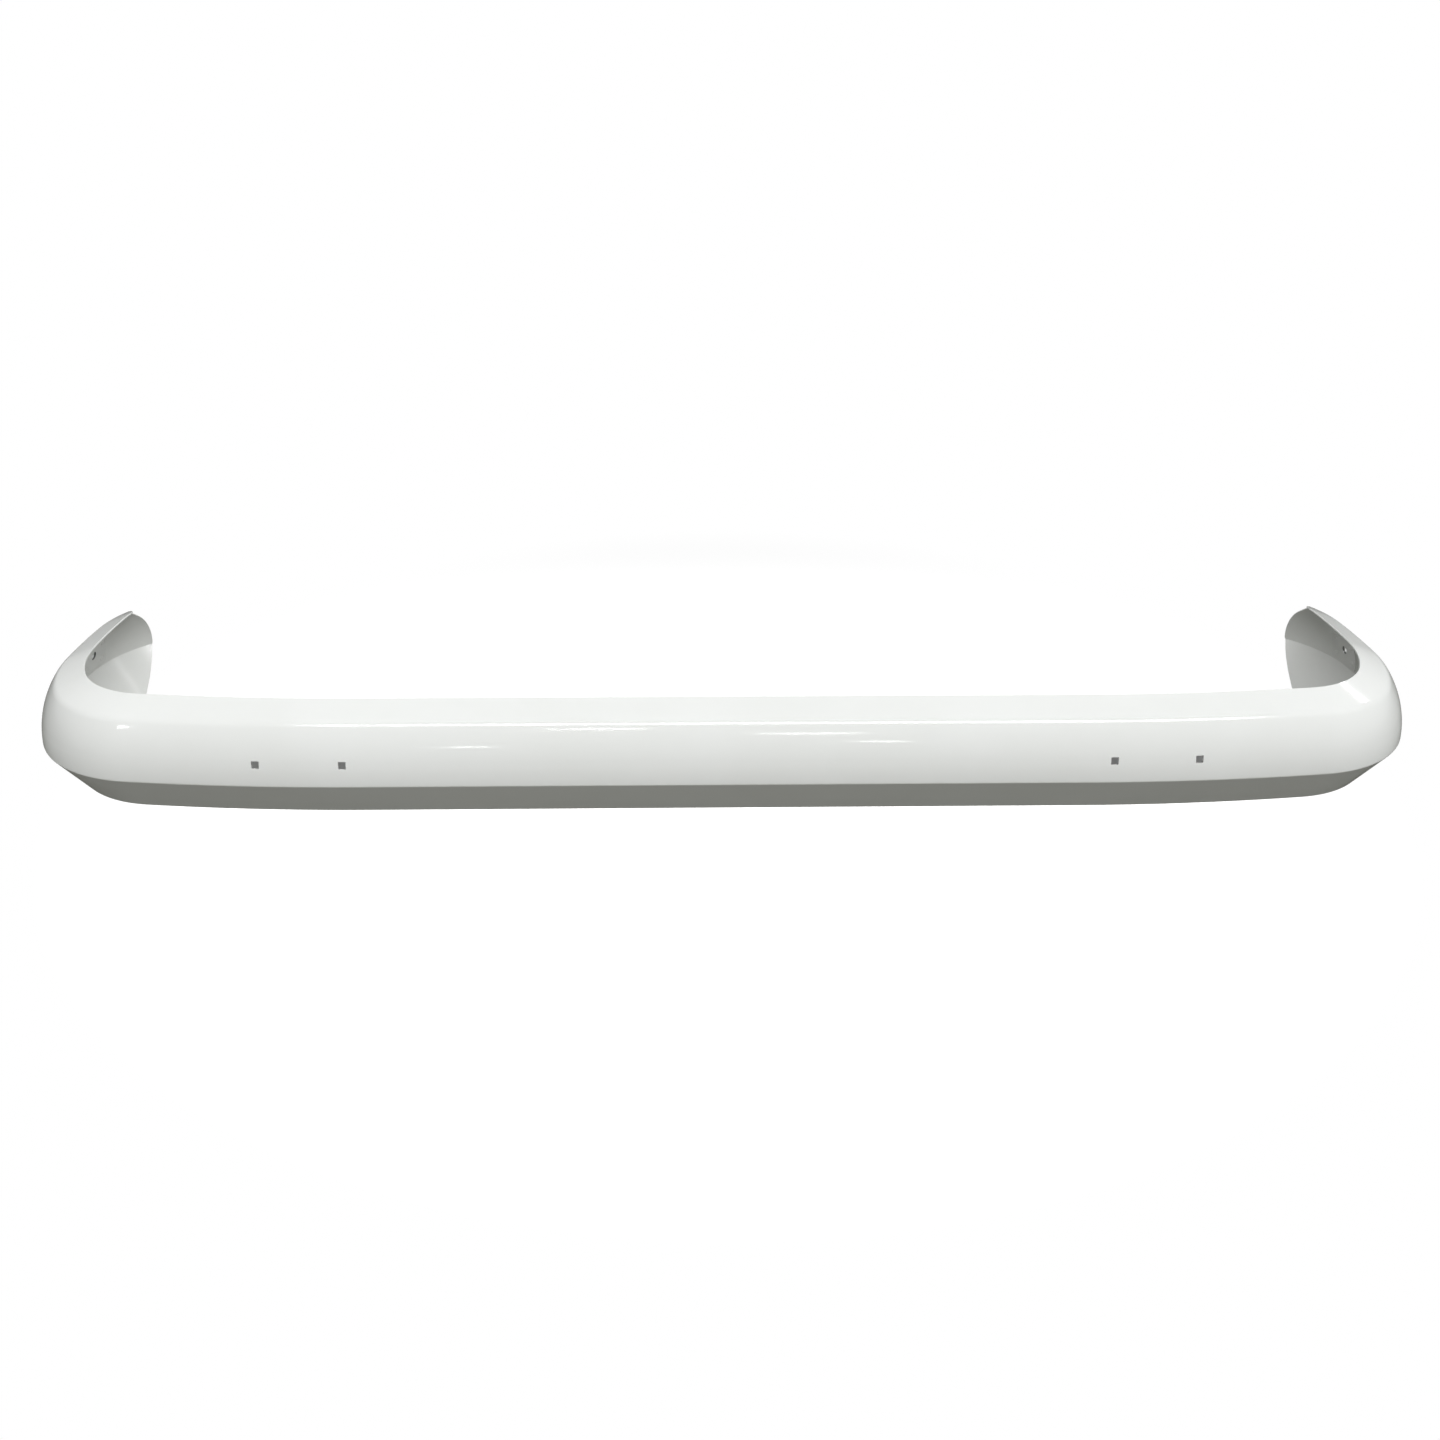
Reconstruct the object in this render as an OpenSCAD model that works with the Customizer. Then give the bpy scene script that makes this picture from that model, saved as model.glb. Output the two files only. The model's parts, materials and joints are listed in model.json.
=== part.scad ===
// Wraparound bumper blade: a channel-section steel pressing that follows one plan path
// round both corners, with doubler plates behind its bolt holes.
// The design origin is the crease at the middle of the front. The finished part is moved
// so that it stands on its bottom edge, centred on its outline, legs pointing along +Y.

/* [Overall size] */
// Width over the two legs at the crease, mm
overall_width = 1765; // [1450:5:2150]
// Depth from the front crease to the tips of the legs, mm
overall_depth = 423; // [370:1:520]

/* [Plan path] */
// Radius of the gentle bow at each side of the straight middle, mm
bow_r = 2400; // [1800:50:3200]
// Angle turned by the bow, degrees
bow_angle = 6.8; // [4:0.2:9]
// Radius of the main corner bend, mm
corner_r = 174; // [140:1:210]
// Angle turned by the main corner bend, degrees
corner_angle = 57.4; // [46:0.2:68]
// Radius of the easier bend that finishes the corner, mm
easing_r = 250; // [200:5:320]
// Radius of the nearly straight leg, mm
leg_r = 980; // [700:10:1500]
// Radius of the hooked tail of the leg, mm
tail_r = 152; // [130:1:185]
// Depth from the end of the leg to the tip of the tail, mm
tail_depth = 98; // [80:1:115]

/* [Section] */
// Thickness of the pressed sheet, mm
sheet_t = 2; // [1.2:0.1:2.6]
// Inside radius of the crease between face and chamfer, mm
crease_inside_r = 1.2; // [1.1:0.1:3]
// Lean of the face from upright just above the crease, degrees
face_lean = 3; // [0:0.5:8]
// Radius of the crowned face, mm
crown_r = 118; // [95:1:145]
// Angle turned by the crowned face, degrees
crown_angle = 34; // [28:0.5:40]
// Outside radius of the bend into the top flange, mm
bend_r = 18; // [12:0.5:24]
// Rise of the top flange from level, degrees
flange_slope = 22.5; // [15:0.5:27]
// Width of the flat part of the top flange, mm
flange_w = 36.5; // [25:0.5:45]
// Drop of the chamfer below the crease, mm
chamfer_drop = 54; // [44:1:66]
// Lean of the chamfer from upright, degrees
chamfer_lean = 34.5; // [25:0.5:42]

/* [Leg tips] */
// Height above the crease of the rearmost point of the tip, mm
nose_rise = 3; // [1:0.5:6]
// Radius of the tip's outline above that point, mm
nose_r = 64; // [50:1:76]
// Angle of the outline where the nose curve eases into the shoulder, degrees
shoulder_angle = 50; // [40:1:56]
// Angle of the outline where it meets the lip of the top flange, degrees
lip_angle = 77; // [72:1:82]
// Radius of the tip's outline at the crease, mm
heel_r = 8; // [5:0.5:14]
// Angle of the outline where it leaves the crease along the chamfer, degrees
heel_angle = 38; // [32:1:42]
// Angle of the outline where it meets the bottom edge, degrees
foot_angle = 56; // [52:1:64]

/* [Bolt holes] */
// Side of each square bolt hole, mm
square_hole = 9; // [6:0.1:11]
// Distance of all the holes above the crease, along the face, mm
hole_up = 26; // [22:0.5:30]
// Distance from the middle of the blade to the middle of a pair of holes, mm
pair_offset = 510; // [430:1:560]
// Spacing of the two holes of a pair, mm
pair_spacing = 103; // [86:1:124]

/* [Doubler plates] */
// Thickness of the doubler plates, mm
plate_t = 3; // [2:0.1:4]
// Round hole in a doubler that clears the bolt's square neck, mm
neck_clearance_hole = 12; // [10:0.1:12.8]
// Doubler length beyond the outer holes of a pair, mm
bracket_plate_margin = 34; // [30:1:42]
// Height of the doublers, along the face, mm
plate_h = 44; // [40:0.5:48]
// Length of an end doubler, along the leg, mm
end_plate_l = 60; // [52:1:72]
// Corner radius of the doublers, mm
plate_corner_r = 6; // [3:0.5:9]

/* [Welds] */
// Distance of the blade's seam from the end of the bow, mm
seam_setback = 60; // [40:1:72]
// Gap kept between the seam weld and a doubler, mm
seam_gap = 8; // [5:0.5:12]
// Width of the seam weld on the inside, mm
seam_bead_w = 7; // [5:0.5:9]
// Height of the seam weld on the inside, mm
seam_bead_h = 0.8; // [0.4:0.1:1]
// Distance of the seam weld from the free edges, mm
seam_edge_gap = 4; // [2:0.5:8]
// Diameter of a plug weld, mm
plug_d = 8; // [6:0.5:9.5]
// Distance from a plug weld's centre to the doubler's edge, mm
plug_inset = 9; // [8:0.5:11]
// Height of a plug weld above its doubler, mm
plug_proud = 0.4; // [0.2:0.1:1]

/* [Hidden] */

$fn = 720;
paint = [0.93, 0.94, 0.92];
inside_paint = [0.80, 0.82, 0.80];
weld_paint = [0.72, 0.74, 0.72];

// ---- Plan path: one side, from the middle of the front round to past the tip ----

// Spare length of tail past the tip, removed by the end cut
run_out = 8;

// Headings and lengths are held to a thousandth, so that stretches meet exactly
function held(value) = round(value * 1000) / 1000;

// Heading of the path at the end of each stretch, degrees from straight across
corner_end = held(bow_angle + corner_angle);
leg_start = 90;
corner_depth = bow_r * (1 - cos(bow_angle))
    + corner_r * (cos(bow_angle) - cos(corner_end))
    + easing_r * cos(corner_end);
leg_depth = overall_depth - tail_depth - corner_depth;
leg_end = held(acos(-leg_depth / leg_r));
tail_end = held(acos(cos(leg_end) - (tail_depth + run_out) / tail_r));

// Half of the straight middle: what the bends leave of half the overall width
half_straight = held(overall_width / 2 - bow_r * sin(bow_angle)
    - corner_r * (sin(corner_end) - sin(bow_angle))
    - easing_r * (1 - sin(corner_end)));

// Each stretch of the path: radius (0 is straight) and heading at its start and end
stretches = [
    [0, 0, 0],
    [bow_r, 0, bow_angle],
    [corner_r, bow_angle, corner_end],
    [easing_r, corner_end, leg_start],
    [leg_r, leg_start, leg_end],
    [tail_r, leg_end, tail_end]
];
last = len(stretches) - 1;

function arc_length(r, angle) = r * angle * PI / 180;
function arc_angle(r, length) = length / r * 180 / PI;
function stretch_length(i) =
    i == 0 ? half_straight
    : arc_length(stretches[i][0], stretches[i][2] - stretches[i][1]);

// Distance along the path to the start of stretch i
function distance_to(i) = i == 0 ? 0 : distance_to(i - 1) + stretch_length(i - 1);

// Heading and displacement after going a distance d into stretch i
function heading_in(i, d) =
    stretches[i][0] == 0 ? stretches[i][1]
    : stretches[i][1] + arc_angle(stretches[i][0], d);
function moved_in(i, d) =
    stretches[i][0] == 0 ? [d, 0]
    : let (a = stretches[i][1], b = heading_in(i, d))
      stretches[i][0] * [sin(b) - sin(a), cos(a) - cos(b)];
function start_of(i) =
    i == 0 ? [0, 0] : start_of(i - 1) + moved_in(i - 1, stretch_length(i - 1));

// Stretch that holds the distance s, and the path's point and heading there
function stretch_at(s, i = 0) =
    i == last || s < distance_to(i + 1) ? i : stretch_at(s, i + 1);
function path_point(s) =
    let (i = stretch_at(s)) start_of(i) + moved_in(i, s - distance_to(i));
function path_heading(s) =
    let (i = stretch_at(s)) heading_in(i, s - distance_to(i));

path_end = distance_to(last) + stretch_length(last);
tail_start = distance_to(last);

// Moves its children in whole millimetres, then thousandths, then the rest, so that no
// digit of the place is lost and neighbouring stretches share one face
module moved_to(point) {
    whole = [floor(point.x), floor(point.y), 0];
    thousandths = [held(point.x - whole.x), held(point.y - whole.y), 0];
    rest = [point.x, point.y, 0] - whole - thousandths;
    translate(whole)
        translate(thousandths)
            translate(rest)
                children();
}

// Carries a section, drawn as (inward, up), along the path from distance a to distance b
module sweep(a, b) {
    for (i = [0 : last]) {
        lo = held(max(a, distance_to(i)) - distance_to(i));
        hi = held(min(b, distance_to(i) + stretch_length(i)) - distance_to(i));
        if (hi > lo + 0.01) {
            r = stretches[i][0];
            if (r == 0) {
                translate([lo, 0, 0])
                    rotate([90, 0, 90])
                        linear_extrude(hi - lo)
                            children();
            } else {
                from = held(heading_in(i, lo));
                to = held(heading_in(i, hi));
                moved_to(start_of(i) + r * [-sin(stretches[i][1]), cos(stretches[i][1])])
                    rotate_extrude(angle = held(to - from), start = from - 90)
                        translate([r, 0])
                            mirror([1, 0])
                                children();
            }
        }
    }
}

// ---- Section, as (inward, up) from the outermost point of the crease ----

// Flats per arc of the section. The crown has one for each degree, so that a doubler and
// the face in front of it differ by under a hundredth of a millimetre
crease_steps = 3;
crown_steps = ceil(crown_angle);
bend_steps = 5;

// Direction of the section's line at its bends, degrees from straight inward
face_start = 90 - face_lean;
face_end = face_start - crown_angle;
chamfer_heading = 90 + chamfer_lean;

// Point at a depth below the outside, on an arc with its centre inside the channel
function on_arc(centre, r, depth, heading) =
    centre + (r - depth) * [-sin(heading), cos(heading)];
function arc_points(centre, r, depth, from, to, steps) =
    [for (k = [0 : steps]) on_arc(centre, r, depth, from + (to - from) * k / steps)];

crease_r = crease_inside_r + sheet_t;
crease_centre = [crease_r, 0];
crown_centre = on_arc(crease_centre, crease_r, 0, face_start)
    + crown_r * [sin(face_start), -cos(face_start)];
bend_centre = on_arc(crown_centre, crown_r, 0, face_end)
    + bend_r * [sin(face_end), -cos(face_end)];

// Outside ends of the flat flange and of the chamfer
flange_start = on_arc(bend_centre, bend_r, 0, flange_slope);
lip = flange_start + flange_w * [cos(flange_slope), sin(flange_slope)];
chamfer_top = on_arc(crease_centre, crease_r, 0, chamfer_heading);

// Foot of the chamfer: its sheet is cut level, so every depth ends at the same height
function foot(depth) =
    let (top = on_arc(crease_centre, crease_r, depth, chamfer_heading))
    top + (chamfer_drop + top.y) * [tan(chamfer_lean), -1];

// The whole section line at a depth below the outside, kept an inset from foot and lip
function section_line(depth, inset = 0) = concat(
    [foot(depth) + inset * [-sin(chamfer_lean), cos(chamfer_lean)]],
    arc_points(crease_centre, crease_r, depth, chamfer_heading, face_start, crease_steps),
    arc_points(crown_centre, crown_r, depth, face_start - crown_angle / crown_steps, face_end,
        crown_steps - 1),
    arc_points(bend_centre, bend_r, depth, face_end - (face_end - flange_slope) / bend_steps,
        flange_slope, bend_steps - 1),
    [lip + depth * [sin(flange_slope), -cos(flange_slope)]
        - inset * [cos(flange_slope), sin(flange_slope)]]
);

// A layer of the section between two depths
module layer(outer, inner, inset = 0) {
    inside = section_line(inner, inset);
    polygon(concat(section_line(outer, inset),
        [for (k = [len(inside) - 1 : -1 : 0]) inside[k]]));
}

// A layer of the crowned face only, between two distances up the face
module face_layer(outer, inner, low, high) {
    from = face_start - arc_angle(crown_r, low);
    to = face_start - arc_angle(crown_r, high);
    steps = ceil(from - to);
    polygon(concat(
        arc_points(crown_centre, crown_r, outer, from, to, steps),
        arc_points(crown_centre, crown_r, inner, to, from, steps)));
}

// Puts its children on the outside of the face, a distance s along the path and up the
// face: local Z points straight out of the face, local Y up it and local X along it
module at_face(s, up) {
    heading = face_start - arc_angle(crown_r, up);
    place = on_arc(crown_centre, crown_r, 0, heading);
    point = path_point(s);
    translate([point.x, point.y, 0])
        rotate([0, 0, path_heading(s)])
            translate([0, place.x, place.y])
                rotate([heading, 0, 0])
                    children();
}

// ---- Places along the path ----

// The holes of a pair are set out along the path, and the end hole is where the tail starts
pair_holes = [pair_offset - pair_spacing / 2, pair_offset + pair_spacing / 2];
end_hole = tail_start;
bracket_plate_l = pair_spacing + 2 * bracket_plate_margin;
seam_at = max(distance_to(2) - seam_setback,
    pair_offset + bracket_plate_l / 2 + seam_gap + seam_bead_w / 2);
plate_low = hole_up - plate_h / 2;
plate_high = hole_up + plate_h / 2;

// Stands the finished part on its bottom edge, with its outline centred on the origin
module stand() {
    translate([0, -overall_depth / 2, chamfer_drop])
        children();
}

module mirrored(left) {
    stand()
        mirror([left ? 1 : 0, 0, 0])
            children();
}

// ---- Tip of the leg: the outline that the end cut leaves, seen from the side ----

outline_steps = 8;
// Room that the end cut's outline takes past the sheet
cut_room = 5;

// Rearmost point of the outline, then the shoulder's and the sweep's radius, each found
// from the height that its arc has to reach
nose_centre = [overall_depth - nose_r, nose_rise];
heel_centre = [overall_depth - heel_r, nose_rise];
shoulder_r = (lip.y - nose_rise - nose_r * sin(shoulder_angle))
    / (sin(lip_angle) - sin(shoulder_angle));
shoulder_centre = nose_centre
    - (shoulder_r - nose_r) * [cos(shoulder_angle), sin(shoulder_angle)];
sweep_r = (chamfer_drop + nose_rise - heel_r * sin(heel_angle))
    / (sin(foot_angle) - sin(heel_angle));
sweep_centre = heel_centre - (sweep_r - heel_r) * [cos(heel_angle), -sin(heel_angle)];

function outline_arc(centre, r, from, to) =
    [for (k = [0 : outline_steps])
        let (a = from + (to - from) * k / outline_steps)
        centre + r * [cos(a), sin(a)]];

module tip_outline() {
    foot_point = sweep_centre + sweep_r * [cos(foot_angle), -sin(foot_angle)];
    lip_point = shoulder_centre + shoulder_r * [cos(lip_angle), sin(lip_angle)];
    polygon(concat(
        [[-cut_room, -chamfer_drop - cut_room], foot_point - [0, cut_room]],
        outline_arc(sweep_centre, sweep_r, -foot_angle, -heel_angle - 0.5),
        outline_arc(heel_centre, heel_r, -heel_angle, -1),
        outline_arc(nose_centre, nose_r, 0, shoulder_angle - 1),
        outline_arc(shoulder_centre, shoulder_r, shoulder_angle, lip_angle),
        [lip_point + [0, cut_room], [-cut_room, lip.y + cut_room]]));
}

// ---- Shared shapes ----

module square_hole_at(s) {
    at_face(s, hole_up)
        cube([square_hole, square_hole, 8 * sheet_t], center = true);
}

module neck_hole_at(s) {
    at_face(s, hole_up)
        translate([0, 0, -sheet_t - 2 * plate_t])
            cylinder(d = neck_clearance_hole, h = 2 * plate_t + sheet_t);
}

// A flat plate outline with round corners, made to cut through a curved layer
module plate_outline(length) {
    reach = sheet_t + 3 * plate_t;
    translate([0, 0, -reach])
        linear_extrude(2 * reach) {
            square([length - 2 * plate_corner_r, plate_h], center = true);
            square([length, plate_h - 2 * plate_corner_r], center = true);
            for (x = [-1, 1], y = [-1, 1])
                translate([x * (length / 2 - plate_corner_r), y * (plate_h / 2 - plate_corner_r)])
                    circle(plate_corner_r);
        }
}

// A doubler: a layer behind the face, cut to the plate's outline
module doubler(s, length, holes, plugs) {
    difference() {
        intersection() {
            sweep(s - length / 2, s + length / 2)
                face_layer(sheet_t, sheet_t + plate_t, plate_low, plate_high);
            at_face(s, hole_up)
                plate_outline(length);
        }
        for (h = holes)
            neck_hole_at(h);
        plug_pins(plugs);
    }
}

// Plug welds fill their holes in a doubler and stand a little proud of it
module plug_welds(s, length, plugs) {
    intersection() {
        sweep(s - length / 2, s + length / 2)
            face_layer(sheet_t, sheet_t + plate_t + plug_proud, plate_low, plate_high);
        plug_pins(plugs);
    }
}

module plug_pins(plugs) {
    for (p = plugs)
        at_face(p[0], p[1])
            translate([0, 0, -sheet_t - 3 * plate_t])
                cylinder(d = plug_d, h = sheet_t + 3 * plate_t);
}

// Plug welds sit in rows near a plate's long edges, at the given distances along it
function plug_places(s, along) = [
    for (a = along, side = [-1, 1])
        [s + a, hole_up + side * (plate_h / 2 - plug_inset)]
];

bracket_plugs = plug_places(pair_offset,
    [-bracket_plate_l / 2 + plug_inset, 0, bracket_plate_l / 2 - plug_inset]);
end_plugs = plug_places(end_hole, [-end_plate_l / 2 + plug_inset, end_plate_l / 2 - plug_inset]);

// ---- Pieces ----

module centre_pressing() {
    color(paint)
        stand()
            difference() {
                union() {
                    translate([-half_straight, 0, 0])
                        rotate([90, 0, 90])
                            linear_extrude(2 * half_straight)
                                layer(0, sheet_t);
                    for (side = [0, 1])
                        mirror([side, 0, 0])
                            sweep(half_straight, seam_at)
                                layer(0, sheet_t);
                }
                for (side = [0, 1], h = pair_holes)
                    mirror([side, 0, 0])
                        square_hole_at(h);
            }
}

module end_pressing(left) {
    color(paint)
        mirrored(left)
            difference() {
                intersection() {
                    sweep(seam_at, path_end)
                        layer(0, sheet_t);
                    rotate([90, 0, 90])
                        linear_extrude(overall_width)
                            tip_outline();
                }
                square_hole_at(end_hole);
            }
}

module seam_weld(left) {
    color(weld_paint)
        mirrored(left)
            sweep(seam_at - seam_bead_w / 2, seam_at + seam_bead_w / 2)
                layer(sheet_t, sheet_t + seam_bead_h, seam_edge_gap);
}

module bracket_doubler(left) {
    color(inside_paint)
        mirrored(left)
            doubler(pair_offset, bracket_plate_l, pair_holes, bracket_plugs);
}

module bracket_plug_welds(left) {
    color(weld_paint)
        mirrored(left)
            plug_welds(pair_offset, bracket_plate_l, bracket_plugs);
}

module end_doubler(left) {
    color(inside_paint)
        mirrored(left)
            doubler(end_hole, end_plate_l, [end_hole], end_plugs);
}

module end_plug_welds(left) {
    color(weld_paint)
        mirrored(left)
            plug_welds(end_hole, end_plate_l, end_plugs);
}

centre_pressing();
end_pressing(true);  // left_end_pressing
end_pressing(false);  // right_end_pressing
seam_weld(true);  // left_seam_weld
seam_weld(false);  // right_seam_weld
bracket_doubler(true);  // left_bracket_doubler
bracket_doubler(false);  // right_bracket_doubler
bracket_plug_welds(true);  // left_bracket_plug_welds
bracket_plug_welds(false);  // right_bracket_plug_welds
end_doubler(true);  // left_end_doubler
end_doubler(false);  // right_end_doubler
end_plug_welds(true);  // left_end_plug_welds
end_plug_welds(false);  // right_end_plug_welds
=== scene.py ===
"""Looks of the wraparound bumper blade: three painted pressings that read as one blade, with
doubler plates, plug welds and seam welds inside the channel. Every piece is a surface worked
out on the plan path and section that the part's source uses, in millimetres, and written to
its mesh in metres."""
import json
import math

import bpy
import numpy as np
from mathutils import Matrix

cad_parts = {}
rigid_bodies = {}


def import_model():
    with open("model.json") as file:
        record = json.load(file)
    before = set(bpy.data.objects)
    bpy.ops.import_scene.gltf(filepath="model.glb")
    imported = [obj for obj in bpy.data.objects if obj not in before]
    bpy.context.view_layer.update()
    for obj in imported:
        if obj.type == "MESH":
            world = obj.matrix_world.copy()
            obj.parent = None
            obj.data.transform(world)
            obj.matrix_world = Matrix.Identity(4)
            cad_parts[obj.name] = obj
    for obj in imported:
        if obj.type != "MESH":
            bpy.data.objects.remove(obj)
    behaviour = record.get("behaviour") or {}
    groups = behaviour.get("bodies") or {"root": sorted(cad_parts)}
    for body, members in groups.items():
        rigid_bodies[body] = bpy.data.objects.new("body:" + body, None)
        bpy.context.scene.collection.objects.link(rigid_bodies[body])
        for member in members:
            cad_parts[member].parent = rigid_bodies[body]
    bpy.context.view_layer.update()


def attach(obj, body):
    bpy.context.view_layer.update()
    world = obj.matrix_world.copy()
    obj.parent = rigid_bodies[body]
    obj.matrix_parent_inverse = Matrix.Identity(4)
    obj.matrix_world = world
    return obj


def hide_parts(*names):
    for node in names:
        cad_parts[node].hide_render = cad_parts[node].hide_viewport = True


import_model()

# ---- Sizes, millimetres and degrees, as in the part's source ----

OVERALL_WIDTH, OVERALL_DEPTH = 1765.0, 423.0
BOW_R, BOW_ANGLE = 2400.0, 6.8
CORNER_R, CORNER_ANGLE = 174.0, 57.4
EASING_R, LEG_R, TAIL_R, TAIL_DEPTH = 250.0, 980.0, 152.0, 98.0
RUN_OUT = 8.0  # of the tail past the overall depth, before the tip is cut
SHEET, CREASE_INSIDE_R = 2.0, 1.2
FACE_LEAN, CROWN_R, CROWN_ANGLE = 3.0, 118.0, 34.0
BEND_R, FLANGE_SLOPE, FLANGE_W = 18.0, 22.5, 36.5
CHAMFER_DROP, CHAMFER_LEAN = 54.0, 34.5
NOSE_RISE, NOSE_R, SHOULDER_ANGLE, LIP_ANGLE = 3.0, 64.0, 50.0, 77.0
HEEL_R, HEEL_ANGLE, FOOT_ANGLE = 8.0, 38.0, 56.0
SQUARE_HOLE, HOLE_UP, PAIR_OFFSET, PAIR_SPACING = 9.0, 26.0, 510.0, 103.0
PLATE_T, NECK_HOLE, PLATE_MARGIN, PLATE_H = 3.0, 12.0, 34.0, 44.0
END_PLATE_L, PLATE_CORNER_R = 60.0, 6.0
SEAM_SETBACK, SEAM_BEAD_W, SEAM_BEAD_H, SEAM_EDGE_GAP = 60.0, 7.0, 0.8, 4.0
PLUG_D, PLUG_INSET, PLUG_PROUD = 8.0, 9.0, 0.4

# ---- Sizes that only the looks use, millimetres ----

# Rims, and the rounded corner of the lip at the tip
PRESSING_EDGE_R, PLATE_EDGE_R, RIM_SEGMENTS = 0.45, 0.5, 3
LIP_CORNER_W, LIP_CORNER_L = 11.0, 9.0
# Unevenness of the pressings: height of the slow and the quick wave, and where they start
SLOW_WAVE, QUICK_WAVE, WAVE_FADE = 0.020, 0.009, 12.0
# Widest mesh cell round the section, along the path and on a plate
CHAMFER_PITCH, CREASE_PITCH, FACE_PITCH = 3.2, 0.36, 1.9
BEND_PITCH, FLANGE_PITCH, LIP_PITCH = 0.7, 3.0, 0.7
CENTRE_PITCH, END_PITCH, PLATE_PITCH = 4.5, 3.0, 1.9
# Even columns end this far past the end hole, and this many more reach the tip's outline
PAST_END_HOLE, TIP_COLUMNS = 4.0, 33
# Search for the tip's outline: halvings, and how far past the path's end it starts
HALVINGS, SEARCH_MARGIN = 40, 10.0
# Plates: gap to the pressing, narrowest cell, windows round holes, ring steps, reach of the dark bare
# primer round the bolt holes (painted shade seen through them)
PLATE_GAP, SLIVER = 0.02, 0.3
HOLE_WINDOW, PLUG_WINDOW, RING_SHARES, BARE_SHADE_R = 7.6, 5.4, (0, 0.3, 0.62), 11.4
# Plug welds: mesh, ripples, crater, rolled rim and its depth, height of the crater's middle
PLUG_RINGS, PLUG_SPOKES = 12, 40
PLUG_RIPPLE, PLUG_RIPPLES, PLUG_TURN = 0.05, 3, 2.1
PLUG_CENTRE, PLUG_SWELL, PLUG_ROLL, PLUG_EDGE_SINK, PLUG_EYE = 0.55, 1.35, 0.12, 0.25, 0.2
# Seam beads: mesh, fade at the ends, ripples and their lag, wander, and fit to the sheet
BEAD_COLUMNS, BEAD_PITCH, BEAD_FADE = 15, 0.45, 4.0
BEAD_RIPPLE, BEAD_RIPPLE_L, BEAD_LAG = 0.14, 2.3, 0.45
BEAD_WANDER, BEAD_WANDER_L = 0.25, 7.0
BEAD_SIDE, BEAD_LIFT, BEAD_SINK = 0.3, 0.01, 0.04


# ---- Lines made of straights and arcs ----

class TangentLine:
    """A flat line of stretches, each given as (length, turn in radians) and each tangent to
    the one before. A stretch of length l and turn a is an arc of radius l / a, and its chord
    after a distance d is d sin(b) / b long, at half the turn made so far, with b that half."""

    def __init__(self, start, heading, stretches):
        self.lengths, turns = np.array(stretches, float).T
        self.bends = turns / self.lengths
        self.starts = np.concatenate([[0], np.cumsum(self.lengths)])
        self.headings = heading + np.concatenate([[0], np.cumsum(turns)])
        self.points = np.array([start], float)
        for i, length in enumerate(self.lengths):
            self.points = np.vstack([self.points, self.inside(i, np.array(length))])

    def inside(self, i, d):
        half = self.bends[i] * d / 2
        chord = d * np.sinc(half / np.pi)
        way = self.headings[i] + half
        return self.points[i] + np.stack([chord * np.cos(way), chord * np.sin(way)], -1)

    def at(self, distance):
        """Both coordinates and the heading at each distance along the line."""
        distance = np.asarray(distance, float)
        i = np.searchsorted(self.starts, distance, side="right") - 1
        i = np.clip(i, 0, len(self.lengths) - 1)
        d = distance - self.starts[i]
        point = self.inside(i, d)
        return point[..., 0], point[..., 1], self.headings[i] + self.bends[i] * d


def plan_path():
    """One half of the plan: straight middle, bow, corner, easing bend, leg and hooked tail.
    The straight takes what the bends leave of half the width, and the leg's turn is what
    brings the tail to the overall depth."""
    bow = math.radians(BOW_ANGLE)
    corner = bow + math.radians(CORNER_ANGLE)
    back = math.pi / 2
    half_straight = (
        OVERALL_WIDTH / 2
        - BOW_R * math.sin(bow)
        - CORNER_R * (math.sin(corner) - math.sin(bow))
        - EASING_R * (1 - math.sin(corner))
    )
    leg_depth = (
        OVERALL_DEPTH
        - TAIL_DEPTH
        - BOW_R * (1 - math.cos(bow))
        - CORNER_R * (math.cos(bow) - math.cos(corner))
        - EASING_R * math.cos(corner)
    )
    leg = math.acos(-leg_depth / LEG_R)
    tail = math.acos(math.cos(leg) - (TAIL_DEPTH + RUN_OUT) / TAIL_R)
    arcs = [
        (BOW_R, 0, bow),
        (CORNER_R, bow, corner),
        (EASING_R, corner, back),
        (LEG_R, back, leg),
        (TAIL_R, leg, tail),
    ]
    turned = [(r * (b - a), b - a) for r, a, b in arcs]
    return TangentLine((0, 0), 0, [(half_straight, 0)] + turned)


def section_line():
    """The section's outside, as (inward, up) from the crease: straight chamfer from the foot,
    tight crease, crowned face, bend, and straight flange up to the lip."""
    crease_r = CREASE_INSIDE_R + SHEET
    lean = math.radians(CHAMFER_LEAN)
    top = np.array([crease_r * (1 - math.cos(lean)), -crease_r * math.sin(lean)])
    foot = top + (CHAMFER_DROP + top[1]) * np.array([math.tan(lean), -1])
    crease_turn = math.radians(CHAMFER_LEAN + FACE_LEAN)
    crown_turn = math.radians(CROWN_ANGLE)
    bend_turn = math.radians(90 - FACE_LEAN - CROWN_ANGLE - FLANGE_SLOPE)
    return TangentLine(
        foot,
        math.pi / 2 + lean,
        [
            (np.hypot(*(foot - top)), 0),
            (crease_r * crease_turn, -crease_turn),
            (CROWN_R * crown_turn, -crown_turn),
            (BEND_R * bend_turn, -bend_turn),
            (FLANGE_W, 0),
        ],
    )


PLAN, SECTION = plan_path(), section_line()
FACE_START = SECTION.starts[2]
END_HOLE = PLAN.starts[5]
BRACKET_PLATE_L = PAIR_SPACING + 2 * PLATE_MARGIN
SEAM_AT = PLAN.starts[2] - SEAM_SETBACK


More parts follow.
